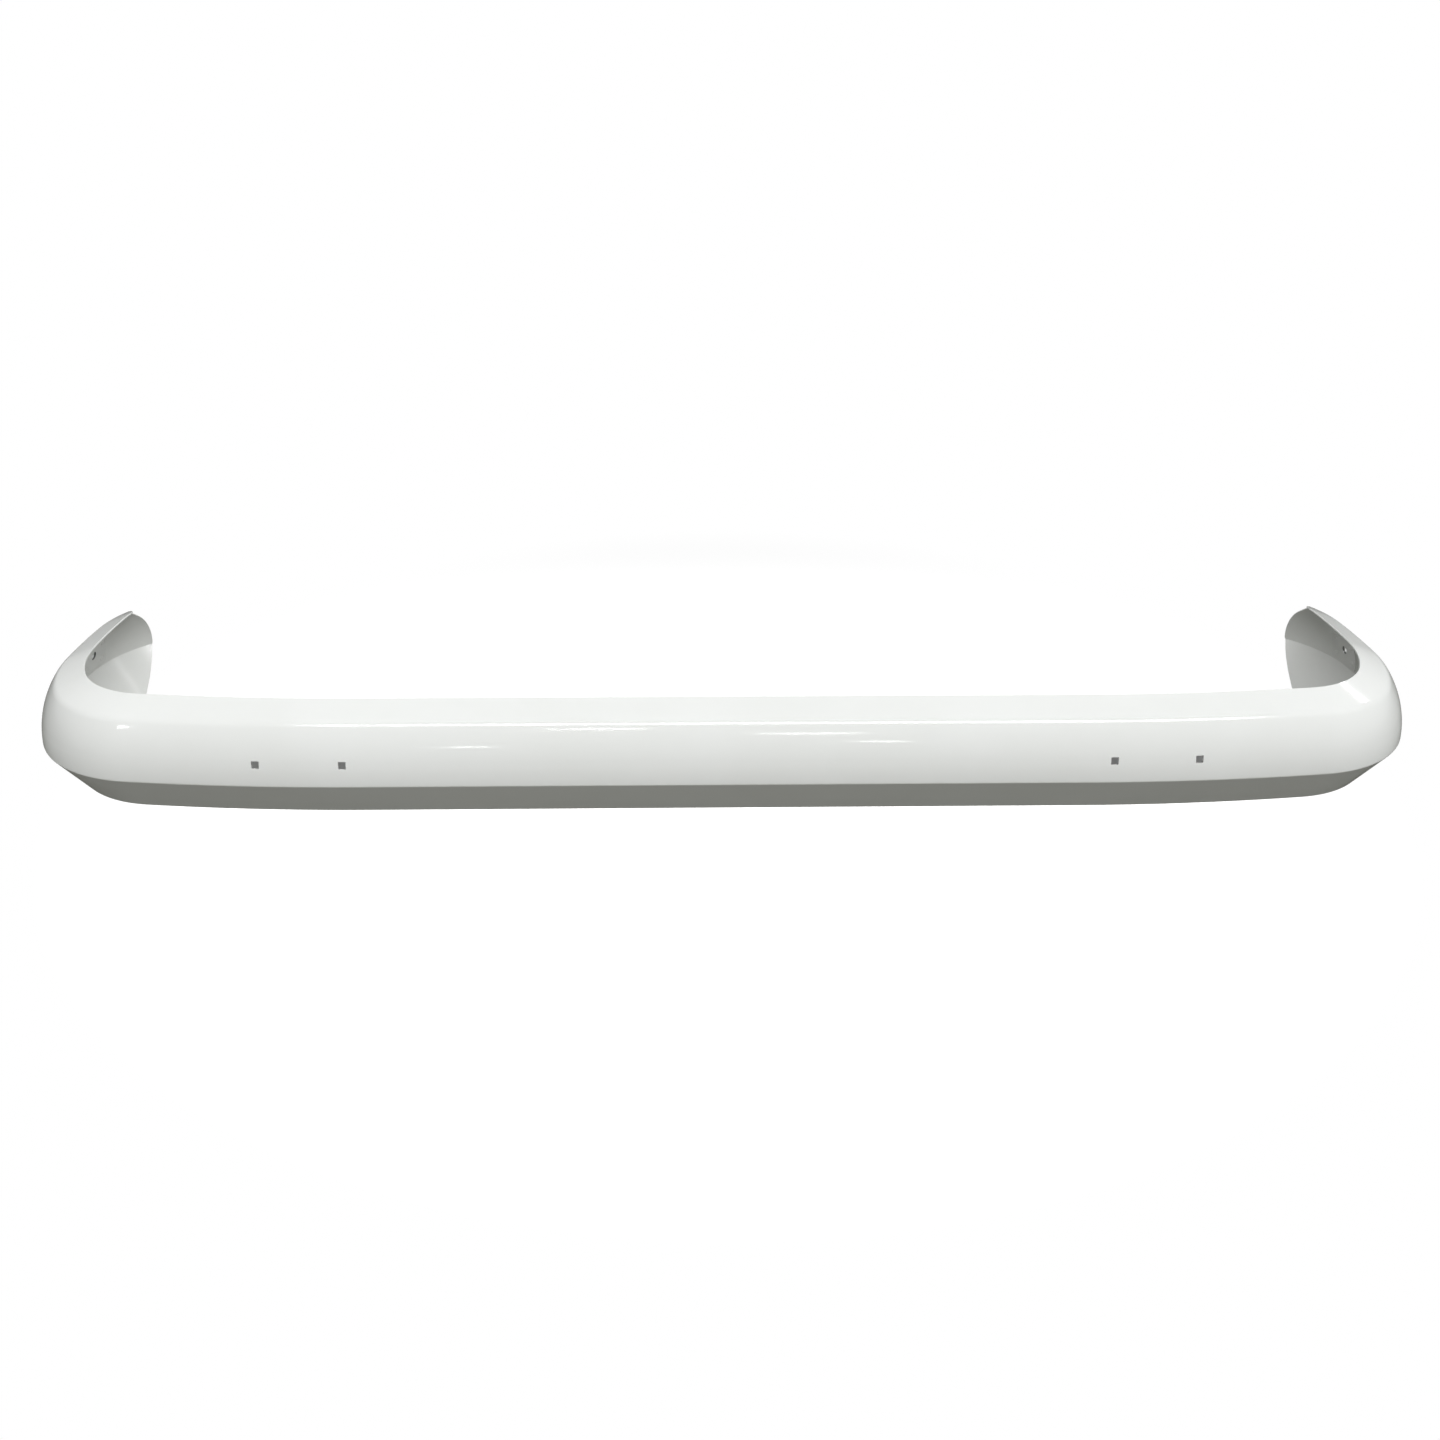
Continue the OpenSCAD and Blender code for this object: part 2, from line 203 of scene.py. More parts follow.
def at_depth(girth, depth):
    """Section point (inward, up) at a distance round the outside and a depth below it: the
    outside point less depth times its normal. On the chamfer the point also slides down by
    the share of the way to the foot, so that the foot is cut level at every depth."""
    inward, up, heading = SECTION.at(girth)
    inward = inward + depth * np.sin(heading)
    up = up - depth * np.cos(heading)
    to_foot = 1 - np.clip(girth / SECTION.starts[1], 0, 1)
    drop = depth * math.sin(math.radians(CHAMFER_LEAN)) * to_foot
    return inward + drop * math.tan(math.radians(CHAMFER_LEAN)), up - drop


def pressing_wave(s, girth):
    """Faint unevenness of a hand-finished pressing, in millimetres along the normal: a sum
    of slow sines of the distance along the path and round the section."""
    rise = np.clip((girth - FACE_START) / WAVE_FADE, 0, 1)
    slow = SLOW_WAVE * np.sin(s / 61 + 1.3) * np.sin(girth / 17 + s / 240)
    quick = QUICK_WAVE * np.sin(s / 23 + 0.7 * np.sin(s / 90)) * np.sin(girth / 9.5 + 0.4)
    return rise * (slow + quick)


def on_blade(s, girth, depth):
    """Point in metres in the shared frame, for a distance s along the plan path (negative on
    the left), a distance round the section and a depth below the outside: the section point
    is set inward, square to the path, and the wave is added along the section's normal."""
    x, y, heading = PLAN.at(np.abs(s))
    side = np.where(np.asarray(s) < 0, -1.0, 1.0)
    inward, up = at_depth(girth, depth - pressing_wave(s, girth))
    return 0.001 * np.stack(
        [
            side * (x - inward * np.sin(heading)),
            y + inward * np.cos(heading) - OVERALL_DEPTH / 2,
            up + CHAMFER_DROP + 0 * x,
        ],
        -1,
    )


# ---- Meshes ----

def spread(marks, pitch):
    """Values that keep every mark and divide each gap evenly, no wider than the pitch."""
    parts = [
        np.linspace(a, b, max(1, math.ceil((b - a) / pitch - 1e-6)) + 1)[:-1]
        for a, b in zip(marks[:-1], marks[1:])
    ]
    return np.append(np.concatenate(parts), marks[-1])


def grid_faces(columns, rows, keep=None):
    """Quads of a grid of points numbered column by column, less the cells not kept."""
    i, j = np.meshgrid(np.arange(columns - 1), np.arange(rows - 1), indexing="ij")
    first = i * rows + j
    quads = np.stack([first, first + rows, first + rows + 1, first + 1], -1)
    return quads[keep] if keep is not None else quads.reshape(-1, 4)


def open_edges(quads):
    """Directed edges that only one quad uses."""
    edges = np.stack([quads, np.roll(quads, -1, axis=1)], -1).reshape(-1, 2)
    edges = edges[edges[:, 0] != edges[:, 1]]
    size = int(quads.max()) + 1
    there, back = edges @ [size, 1], edges @ [1, size]
    return edges[~np.isin(there, back)]


def closed_layers(quads, count):
    """The faces of a sheet whose points are two layers of count points each: the quads on the
    first layer, the same turned round on the second, and a wall along every open edge. The
    open edges come back too."""
    rim = open_edges(quads)
    walls = np.column_stack([rim[:, 1], rim[:, 0], rim[:, 0] + count, rim[:, 1] + count])
    return np.concatenate([quads, quads[:, ::-1] + count, walls]), rim


def write_mesh(name, points, faces, mirrored):
    """A mesh object at the origin, from an array of points and a list of faces. A mirrored
    one is reflected left to right, with its faces turned round so that they point outwards."""
    if mirrored:
        points = points * [-1, 1, 1]
        faces = [face[::-1] for face in faces]
    mesh = bpy.data.meshes.new(name)
    mesh.from_pydata(points, [], faces)
    mesh.validate()
    mesh.polygons.foreach_set("use_smooth", np.ones(len(mesh.polygons), bool))
    piece = bpy.data.objects.new(name, mesh)
    bpy.context.scene.collection.objects.link(piece)
    return piece


def set_attribute(mesh, name, kind, domain, values):
    mesh.attributes.new(name, kind, domain).data.foreach_set("value", values)


def sheet_piece(name, quads, outside, inside, mirrored, edge_r, plain=None, bare_shade=None):
    """A curved sheet with one surface outside and one inside. The rims are rounded by a bevel,
    except where both ends of an edge are in plain. The attribute inside is 1 on the inner
    surface and 0 on the outer one, and the other attribute is 1 at the outer points left as dark
    bare primer, which is painted shade seen through the bolt holes."""
    count = len(outside)
    faces, rim = closed_layers(quads, count)
    points = np.concatenate([outside, inside])
    used = np.zeros(2 * count, bool)
    used[faces] = True
    number = np.cumsum(used) - 1
    piece = write_mesh(name, points[used], number[faces].tolist(), mirrored)
    mesh = piece.data
    ends = np.empty(2 * len(mesh.edges), int)
    mesh.edges.foreach_get("vertices", ends)
    keys = [int(used.sum()), 1]
    ends = np.sort(ends.reshape(-1, 2), axis=1) @ keys

    def among(edges):
        """Whether each edge of the mesh is one of these, on either layer."""
        both = np.sort(number[np.concatenate([edges, edges + count])], axis=1)
        return np.isin(ends, both @ keys)

    rounded = among(rim if plain is None else rim[~plain[rim].all(1)])
    set_attribute(mesh, "bevel_weight_edge", "FLOAT", "EDGE", rounded.astype(float))
    if plain is not None:
        set_attribute(mesh, "sharp_edge", "BOOLEAN", "EDGE", among(rim) & ~rounded)
    which = np.repeat([0.0, 1.0], count)[used]
    set_attribute(mesh, "inside", "FLOAT", "POINT", which)
    # Mask of the dark bare primer near the bolt holes: painted shade seen through the holes
    if bare_shade is not None:
        reach = np.concatenate([bare_shade, np.zeros(count)])[used]
        set_attribute(mesh, "bare_shade", "FLOAT", "POINT", reach)
    bevel = piece.modifiers.new("rounded rims", "BEVEL")
    bevel.limit_method = "WEIGHT"
    bevel.width = edge_r / 1000
    bevel.segments = RIM_SEGMENTS
    bevel.use_clamp_overlap = False
    bevel.harden_normals = True
    return piece


def hole_cells(columns, rows, places):
    """False for the grid cell of each square hole, which spans exactly one cell."""
    keep = np.ones((len(columns) - 1, len(rows) - 1), bool)
    row = np.searchsorted(rows, FACE_START + HOLE_UP) - 1
    keep[np.searchsorted(columns, places) - 1, row] = False
    return keep


LIP_CORNER_START = SECTION.starts[5] - LIP_CORNER_W
HOLE_ROWS = FACE_START + HOLE_UP + SQUARE_HOLE / 2 * np.array([-1, 1])
GIRTHS = np.concatenate(
    [
        spread([0, SECTION.starts[1]], CHAMFER_PITCH)[:-1],
        spread([SECTION.starts[1], FACE_START], CREASE_PITCH)[:-1],
        spread([FACE_START, HOLE_ROWS[0]], FACE_PITCH)[:-1],
        HOLE_ROWS[:1],
        spread([HOLE_ROWS[1], SECTION.starts[3]], FACE_PITCH)[:-1],
        spread([SECTION.starts[3], SECTION.starts[4]], BEND_PITCH)[:-1],
        spread([SECTION.starts[4], LIP_CORNER_START], FLANGE_PITCH)[:-1],
        spread([LIP_CORNER_START, SECTION.starts[5]], LIP_PITCH),
    ]
)
PAIR_HOLES = PAIR_OFFSET + PAIR_SPACING / 2 * np.array([-1, 1])


def hole_marks(places):
    """Both sides of each square hole, in order along the path."""
    return np.sort(np.add.outer(places, SQUARE_HOLE / 2 * np.array([-1, 1])).ravel())


def columns_with_holes(start, end, places, pitch):
    """Even columns between start and end, with each hole as one column of its own width."""
    marks = np.concatenate([[start], hole_marks(places), [end]])
    parts = [spread(marks[i : i + 2], pitch) for i in range(0, len(marks), 2)]
    return np.concatenate(parts)


def centre_blade():
    """The middle pressing: the section carried along the path from seam to seam."""
    places = np.concatenate([-PAIR_HOLES[::-1], PAIR_HOLES])
    s = columns_with_holes(-SEAM_AT, SEAM_AT, places, CENTRE_PITCH)
    grid_s, grid_g = np.meshgrid(s, GIRTHS, indexing="ij")
    keep = hole_cells(s, GIRTHS, places)
    quads = grid_faces(len(s), len(GIRTHS), keep)
    seam = np.isin(grid_s, [-SEAM_AT, SEAM_AT]).ravel()
    layers = [on_blade(grid_s, grid_g, d).reshape(-1, 3) for d in (0.0, SHEET)]
    return sheet_piece("centre_blade", quads, *layers, False, PRESSING_EDGE_R, seam)


def tip_reach(up):
    """Depth of the tip's outline at a height above the crease. It is a chain of arcs, each
    giving its centre's depth plus the square root of r squared less height squared."""
    lip_up = SECTION.points[-1][1]
    turn = np.radians([SHOULDER_ANGLE, LIP_ANGLE, HEEL_ANGLE, FOOT_ANGLE])
    sin, cos = np.sin(turn), np.cos(turn)
    shoulder_r = (lip_up - NOSE_RISE - NOSE_R * sin[0]) / (sin[1] - sin[0])
    sweep_r = (CHAMFER_DROP + NOSE_RISE - HEEL_R * sin[2]) / (sin[3] - sin[2])
    nose = (OVERALL_DEPTH - NOSE_R, NOSE_RISE)
    heel = (OVERALL_DEPTH - HEEL_R, NOSE_RISE)
    shoulder = (nose[0] - (shoulder_r - NOSE_R) * cos[0], nose[1] - (shoulder_r - NOSE_R) * sin[0])
    sweep = (heel[0] - (sweep_r - HEEL_R) * cos[2], heel[1] + (sweep_r - HEEL_R) * sin[2])
    limits = [NOSE_RISE - HEEL_R * sin[2], NOSE_RISE, NOSE_RISE + NOSE_R * sin[0]]
    arcs = [(sweep, sweep_r), (heel, HEEL_R), (nose, NOSE_R), (shoulder, shoulder_r)]
    which = np.digitize(up, limits)
    reach = [c[0] + np.sqrt(np.maximum(r * r - (up - c[1]) ** 2, 0)) for c, r in arcs]
    return np.choose(which, reach)


def tip_distance(girth):
    """Distance along the path at which each row of the section meets the tip's outline,
    found by halving the stretch that holds the crossing many times. The lip's own corner is
    rounded off with a quarter of an ellipse, so the last rows end a little sooner."""
    inward, up = at_depth(girth, 0.0)
    reach = tip_reach(up)
    low = np.full(len(girth), PLAN.starts[4])
    high = np.full(len(girth), PLAN.starts[-1] + SEARCH_MARGIN)
    for _ in range(HALVINGS):
        middle = (low + high) / 2
        _, y, heading = PLAN.at(middle)
        short = y + inward * np.cos(heading) < reach
        low, high = np.where(short, middle, low), np.where(short, high, middle)
    share = np.clip((girth - LIP_CORNER_START) / LIP_CORNER_W, 0, 1)
    return (low + high) / 2 - LIP_CORNER_L * (1 - np.sqrt(1 - share**2))


def end_blade(name, mirrored):
    """An end pressing: fixed columns from the seam to just past the end hole, then columns
    that share out what is left of each row up to the tip's outline."""
    fixed_end = END_HOLE + SQUARE_HOLE / 2 + PAST_END_HOLE
    s = columns_with_holes(SEAM_AT, fixed_end, np.array([END_HOLE]), END_PITCH)
    share = np.linspace(0, 1, TIP_COLUMNS + 1)[1:]
    fixed = np.repeat(s[:, None], len(GIRTHS), axis=1)
    rest = fixed_end + (tip_distance(GIRTHS) - fixed_end) * share[:, None]
    every = np.concatenate([fixed, rest])
    layers = [on_blade(every, GIRTHS[None, :], d).reshape(-1, 3) for d in (0.0, SHEET)]
    columns = len(s) + len(share)
    keep = np.ones((columns - 1, len(GIRTHS) - 1), bool)
    keep[: len(s) - 1] = hole_cells(s, GIRTHS, np.array([END_HOLE]))
    quads = grid_faces(columns, len(GIRTHS), keep)
    seam = np.repeat(np.arange(columns) == 0, len(GIRTHS))
    return sheet_piece(name, quads, *layers, mirrored, PRESSING_EDGE_R, seam)


def plate_pattern(length, holes):
    """Flat points and quads of a plate with round corners and round holes. The grid's corner
    squares are bent to quarter discs, and the cells in a square window round each hole give
    way to rings that run from the hole's circle to the window's edge."""
    half = np.array([length / 2, PLATE_H / 2])
    lines = []
    for axis in (0, 1):
        edge = half[axis] - PLATE_CORNER_R
        marks = [-half[axis], -edge, edge, half[axis]]
        marks += [h[axis] + way * h[2] for h in holes for way in (-1, 1)]
        marks = np.unique(np.round(marks, 6))
        marks = marks[np.concatenate([[True], np.diff(marks) > SLIVER])]
        lines.append(spread(marks, PLATE_PITCH))
    a, b = np.meshgrid(*lines, indexing="ij")
    flat = np.stack([a, b], -1)
    past = (np.abs(flat) - half + PLATE_CORNER_R) / PLATE_CORNER_R
    corner = (past > 0).all(-1)
    bent = past * np.sqrt(np.maximum(1 - past[..., ::-1] ** 2 / 2, 0))
    moved = np.sign(flat) * (half - PLATE_CORNER_R + PLATE_CORNER_R * bent)
    flat = np.where(corner[..., None], moved, flat).reshape(-1, 2)
    rows = len(lines[1])
    keep = np.ones((len(lines[0]) - 1, rows - 1), bool)
    points, quads, count = [flat], [], len(flat)
    for centre_a, centre_b, window, radius in holes:
        i = [int(np.argmin(np.abs(lines[0] - centre_a - w * window))) for w in (-1, 1)]
        j = [int(np.argmin(np.abs(lines[1] - centre_b - w * window))) for w in (-1, 1)]
        keep[i[0] : i[1], j[0] : j[1]] = False
        loop = [(p, j[0]) for p in range(i[0], i[1])]
        loop += [(i[1], q) for q in range(j[0], j[1])]
        loop += [(p, j[1]) for p in range(i[1], i[0], -1)]
        loop += [(i[0], q) for q in range(j[1], j[0], -1)]
        border = np.array(loop) @ [rows, 1]
        centre = np.array([centre_a, centre_b])
        way = flat[border] - centre
        circle = centre + radius * way / np.hypot(*way.T)[:, None]
        points += [circle + (flat[border] - circle) * w for w in RING_SHARES]
        n = len(border)
        new = count + np.arange(len(RING_SHARES) * n)
        numbers = np.concatenate([new, border]).reshape(-1, n)
        count += len(new)
        after = np.roll(numbers, -1, axis=1)
        ring_quads = np.stack([numbers[:-1], numbers[1:], after[1:], after[:-1]], -1)
        quads.append(ring_quads.reshape(-1, 4))
    quads.insert(0, grid_faces(len(lines[0]), rows, keep))
    return np.concatenate(points), np.concatenate(quads)


def plug_places(along):
    """Plug welds near both long edges of a plate, at each of these distances along it."""
    return [(a, side * (PLATE_H / 2 - PLUG_INSET)) for a in along for side in (-1, 1)]


BRACKET_PLUGS = plug_places(
    [-BRACKET_PLATE_L / 2 + PLUG_INSET, 0, BRACKET_PLATE_L / 2 - PLUG_INSET]
)
END_PLUGS = plug_places([-END_PLATE_L / 2 + PLUG_INSET, END_PLATE_L / 2 - PLUG_INSET])


def doubler_plate(name, s, length, holes, plugs, mirrored):
    """A doubler: a flat plate's pattern laid on the inside of the crowned face. Round the bolt
    holes its outer side is marked dark bare primer, as painted shade seen through the holes."""
    openings = [(h, 0, HOLE_WINDOW, NECK_HOLE / 2) for h in holes]
    openings += [(a, b, PLUG_WINDOW, PLUG_D / 2) for a, b in plugs]
    flat, quads = plate_pattern(length, openings)
    girth = FACE_START + HOLE_UP + flat[:, 1]
    layers = [on_blade(s + flat[:, 0], girth, d) for d in (SHEET + PLATE_GAP, SHEET + PLATE_T)]
    # Points near a bolt hole get the dark primer: bare mating face, darkened as painted shade seen
    # through the square holes
    from_hole = np.hypot(flat[:, :1] - np.array([holes]), flat[:, 1:]).min(axis=1)
    bare_shade = (from_hole < BARE_SHADE_R).astype(float)
    return sheet_piece(name, quads, *layers, mirrored, PLATE_EDGE_R, bare_shade=bare_shade)


def plug_weld_set(name, s, plugs, mirrored):
    """Plug welds: round grids whose height over the plate is a crater that swells to a ring as
    a sine, with fine ripples round it, and rolls over at the rim as a square root. The rim
    sinks a little into the plate, and the foot of each weld rests on the pressing."""
    share = np.linspace(0, 1, PLUG_RINGS + 1)[1:]
    angle = np.arange(PLUG_SPOKES) * 2 * np.pi / PLUG_SPOKES
    swell = np.sin(np.pi * np.clip(share * PLUG_SWELL, 0, 1))
    dome = PLUG_PROUD * (PLUG_CENTRE + (1 - PLUG_CENTRE) * swell)
    dome = dome * np.clip((1 - share) / PLUG_ROLL, 0, 1) ** 0.5
    dome[-1] -= PLUG_EDGE_SINK
    inner_share = np.append(share[:-1], 0)
    plate_top, foot_depth = SHEET + PLATE_T, SHEET + PLATE_GAP
    points, faces, count = [], [], 0
    for k, (a, b) in enumerate(plugs):
        wave = np.sin(angle * PLUG_RIPPLES + k * PLUG_TURN)
        ripple = PLUG_RIPPLE * wave * inner_share[:, None]
        height = np.minimum(dome[:, None] + ripple, PLUG_PROUD)
        along = s + a + share[:, None] * PLUG_D / 2 * np.cos(angle)
        girth = FACE_START + HOLE_UP + b + share[:, None] * PLUG_D / 2 * np.sin(angle)
        middle = np.array(s + a), np.array(FACE_START + HOLE_UP + b)
        top = on_blade(along, girth, plate_top + height).reshape(-1, 3)
        base = on_blade(along[-1], girth[-1], foot_depth)
        eye = on_blade(*middle, plate_top + PLUG_EYE)
        foot = on_blade(*middle, foot_depth)
        points += [top, base, eye[None], foot[None]]
        eye_number = count + (PLUG_RINGS + 1) * PLUG_SPOKES
        loops = np.arange(count, eye_number).reshape(-1, PLUG_SPOKES)
        after = np.roll(loops, -1, axis=1)
        side = np.stack([loops[:-1], after[:-1], after[1:], loops[1:]], -1).reshape(-1, 4)
        caps = [
            np.stack([0 * loops[0] + eye_number, after[0], loops[0]], -1),
            np.stack([0 * loops[0] + eye_number + 1, loops[-1], after[-1]], -1),
        ]
        faces += side[:, ::-1].tolist()[::-1] + np.concatenate(caps).tolist()
        count = eye_number + 2
    return write_mesh(name, np.concatenate(points), faces, mirrored)


def seam_bead(name, mirrored):
    """The weld bead across the inside of a seam: over its width the height falls as one less
    the square of the distance from the middle, along it the ripples are a cosine that lags
    towards the sides, and the height fades out over the last few millimetres."""
    across = np.linspace(-1, 1, BEAD_COLUMNS)
    girth = spread([SEAM_EDGE_GAP, SECTION.starts[-1] - SEAM_EDGE_GAP], BEAD_PITCH)
    u, g = np.meshgrid(across, girth, indexing="ij")
    lag = g / BEAD_RIPPLE_L + BEAD_LAG * u * u
    ripple = 1 - BEAD_RIPPLE + BEAD_RIPPLE * np.cos(2 * np.pi * lag)
    fade = np.clip(np.minimum(g - girth[0], girth[-1] - g) / BEAD_FADE, 0, 1) ** 0.5
    height = SEAM_BEAD_H * (1 - u * u) * ripple * fade
    wander = BEAD_WANDER * np.sin(g / BEAD_WANDER_L)
    s = SEAM_AT + u * (SEAM_BEAD_W / 2 - BEAD_SIDE) + wander
    top = on_blade(s, g, SHEET + BEAD_LIFT + height).reshape(-1, 3)
    base = on_blade(s, g, SHEET - BEAD_SINK).reshape(-1, 3)
    faces, _ = closed_layers(grid_faces(len(across), len(girth)), len(top))
    return write_mesh(name, np.concatenate([base, top]), faces.tolist(), mirrored)


# ---- Materials ----

class Value:
    """A shader value: an expression on it adds Math nodes to its node tree."""

    def __init__(self, nodes, socket):
        self.nodes, self.socket = nodes, socket

    def __add__(self, other):
        return self.nodes.add("ShaderNodeMath", {"operation": "ADD"}, self, other)

    def __mul__(self, other):
        return self.nodes.add("ShaderNodeMath", {"operation": "MULTIPLY"}, self, other)

    def clamped(self):
        return self.nodes.add("ShaderNodeMath", {"operation": "ADD", "use_clamp": True}, self, 0)

    __radd__, __rmul__ = __add__, __mul__


class Nodes:
    """The node tree of a new material, or of the world, with one way to add any node."""

    def __init__(self, owner):
        self.owner = owner
        owner.use_nodes = True
        self.tree = owner.node_tree
        self.tree.nodes.clear()

    def add(self, kind, settings=None, *values, output=0, **named):
        """A node of that kind: its settings first, then its sockets by place or by name."""
        node = self.tree.nodes.new(kind)
        for key, setting in (settings or {}).items():
            setattr(node, key, setting)
        for key, value in [*enumerate(values), *named.items()]:
            if isinstance(key, str):
                key = key.replace("_", " ")
            socket = node.inputs[key]
            if isinstance(value, Value):
                self.tree.links.new(value.socket, socket)
            else:
                socket.default_value = value
        return Value(self, node.outputs[output])

    def noise(self, coordinates, size_mm, detail, roughness):
        """Noise whose lumps are about that many millimetres across."""
        return self.add(
            "ShaderNodeTexNoise",
            {},
            coordinates,
            Scale=1000 / size_mm,
            Detail=detail,
            Roughness=roughness,
        )

    def ramp(self, value, low, high):
        """0 below low, 1 above high and smooth between."""
        return self.add(
            "ShaderNodeMapRange",
            {"interpolation_type": "SMOOTHSTEP"},
            value,
            low,
            high,
            0.0,
            1.0,
        )

    def mix(self, share, a, b):
        """Colour a at share 0 and colour b at share 1."""
        node = self.tree.nodes.new("ShaderNodeMix")
        node.data_type = "RGBA"
        for key, value in ((0, share), (6, a), (7, b)):
            if isinstance(value, Value):
                self.tree.links.new(value.socket, node.inputs[key])
            else:
                node.inputs[key].default_value = value if key == 0 else (*value, 1)
        return Value(self, node.outputs[2])

    def finish(self, shader, kind="ShaderNodeOutputMaterial"):
        """Makes the shader the surface, and returns the material or world."""
        out = self.tree.nodes.new(kind)
        self.tree.links.new(shader.socket, out.inputs["Surface"])
        return self.owner


# Sizes of the paint's lumps: cloudiness, mist, orange peel and the grain inside the channel
CLOUD_MM, MIST_MM, PEEL_MM, GRAIN_MM = 140, 9, 3.2, 0.8
# Dark bare primer round the bolt holes: painted shade, dark enough to be what is seen through the square
# holes
PRIMER_HOLE_SHADE = (0.12, 0.125, 0.118)


def gloss_paint(name, colour, thin_colour, peel, inside_rough):
    """Gloss paint over steel: fine orange peel, faint cloudiness, and a duller and slightly
    thinner film inside the channel. Where the surface is marked bare it shows a dark grey
    primer, which is painted shade seen through the bolt holes."""
    nodes = Nodes(bpy.data.materials.new(name))
    here = nodes.add("ShaderNodeTexCoord", output=3)
    inside = nodes.add("ShaderNodeAttribute", {"attribute_name": "inside"}, output=2)
    cloud = nodes.noise(here, CLOUD_MM, 3.0, 0.55)
    mist = nodes.noise(here, MIST_MM, 3.0, 0.6)
    film = nodes.noise(here, PEEL_MM, 1.0, 0.45)
    fine = nodes.noise(here, GRAIN_MM, 1.0, 0.5)
    tint = (nodes.ramp(cloud, 0.35, 0.7) * 0.35 + inside * (0.35 + 0.5 * mist)).clamped()
    # The dark primer near the bolt holes is painted shade seen through the holes
    bare_shade = nodes.add("ShaderNodeAttribute", {"attribute_name": "bare_shade"}, output=2)
    base = nodes.mix(nodes.ramp(bare_shade, 0.05, 0.3), nodes.mix(tint, colour, thin_colour), PRIMER_HOLE_SHADE)
    roughness = 0.07 + 0.03 * cloud + inside * (inside_rough + 0.12 * mist)
    height = film * peel + fine * (inside * peel * 0.6)
    normal = nodes.add("ShaderNodeBump", {}, Height=height, Strength=1.0, Distance=0.001)
    return nodes.finish(
        nodes.add(
            "ShaderNodeBsdfPrincipled",
            {},
            Base_Color=base,
            Roughness=roughness,
            Normal=normal,
            IOR=1.5,
        )
    )


# ---- Pieces ----

ALONG_PAIR = PAIR_HOLES - PAIR_OFFSET
paints = {
    "blade_paint": gloss_paint("gloss blade paint", (0.80, 0.81, 0.775), (0.75, 0.76, 0.72), 0.02, 0.06),
    "doubler_paint": gloss_paint("doubler paint", (0.78, 0.79, 0.755), (0.72, 0.73, 0.69), 0.03, 0.10),
    "weld_paint": gloss_paint("weld paint", (0.76, 0.77, 0.73), (0.70, 0.71, 0.67), 0.05, 0.14),
}


def place_piece(piece, node, slot):
    """Gives a piece its paint, hangs it on the root body, and hides the node it stands in for."""
    piece.data.materials.append(paints[slot])
    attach(piece, "root")
    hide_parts(node)


place_piece(centre_blade(), "centre_pressing", "blade_paint")
for side, mirrored in (("left", True), ("right", False)):
    place_piece(end_blade(f"{side}_end_blade", mirrored), f"{side}_end_pressing", "blade_paint")
    place_piece(seam_bead(f"{side}_seam_bead", mirrored), f"{side}_seam_weld", "weld_paint")
    place_piece(
        doubler_plate(
            f"{side}_bracket_plate", PAIR_OFFSET, BRACKET_PLATE_L, ALONG_PAIR, BRACKET_PLUGS, mirrored
        ),
        f"{side}_bracket_doubler",
        "doubler_paint",
    )
    place_piece(
        plug_weld_set(f"{side}_bracket_plugs", PAIR_OFFSET, BRACKET_PLUGS, mirrored),
        f"{side}_bracket_plug_welds",
        "weld_paint",
    )
    place_piece(
        doubler_plate(f"{side}_end_plate", END_HOLE, END_PLATE_L, [0.0], END_PLUGS, mirrored),
        f"{side}_end_doubler",
        "doubler_paint",
    )
    place_piece(
        plug_weld_set(f"{side}_end_plugs", END_HOLE, END_PLUGS, mirrored),
        f"{side}_end_plug_welds",
        "weld_paint",
    )

# ---- Stage: floor, lights and camera, in metres ----

FLOOR_HALF = 60
FLOOR_FADE = (0.60, 0.86)
FLOOR_SEEN, FLOOR_BOUNCED = (1.0, 1.0, 1.0), (0.08, 0.08, 0.07)
corners = [(x * FLOOR_HALF, y * FLOOR_HALF, 0) for x, y in ((-1, -1), (1, -1), (1, 1), (-1, 1))]
floor_mesh = bpy.data.meshes.new("floor")
floor_mesh.from_pydata(corners, [], [(0, 1, 2, 3)])
floor = bpy.data.objects.new("floor", floor_mesh)
bpy.context.scene.collection.objects.link(floor)


def floor_finish(seen, bounced):
    """A matt floor that the camera sees pale, fading to plain white within a metre of the
    middle, and that gives the blade only the light of a darker one."""
    nodes = Nodes(bpy.data.materials.new("pale floor"))
    here = nodes.add("ShaderNodeTexCoord", output=3)
    far = nodes.add("ShaderNodeVectorMath", {"operation": "LENGTH"}, here, output=1)
    pale = nodes.add("ShaderNodeBsdfDiffuse", {}, Color=(*seen, 1))
    white = nodes.add("ShaderNodeEmission", {}, Color=(1, 1, 1, 1), Strength=1.0)
    near = nodes.add("ShaderNodeMixShader", {}, nodes.ramp(far, *FLOOR_FADE), pale, white)
    dark = nodes.add("ShaderNodeBsdfDiffuse", {}, Color=(*bounced, 1))
    direct = nodes.add("ShaderNodeLightPath", output=0)
    return nodes.finish(nodes.add("ShaderNodeMixShader", {}, direct, dark, near))


floor_mesh.materials.append(floor_finish(FLOOR_SEEN, FLOOR_BOUNCED))


def placed(x, y, z, place):
    """The transform whose local axes are x, y and z, at a place."""
    rows = np.column_stack([x, y, z, place]).tolist()
    return Matrix([*rows, [0, 0, 0, 1]])


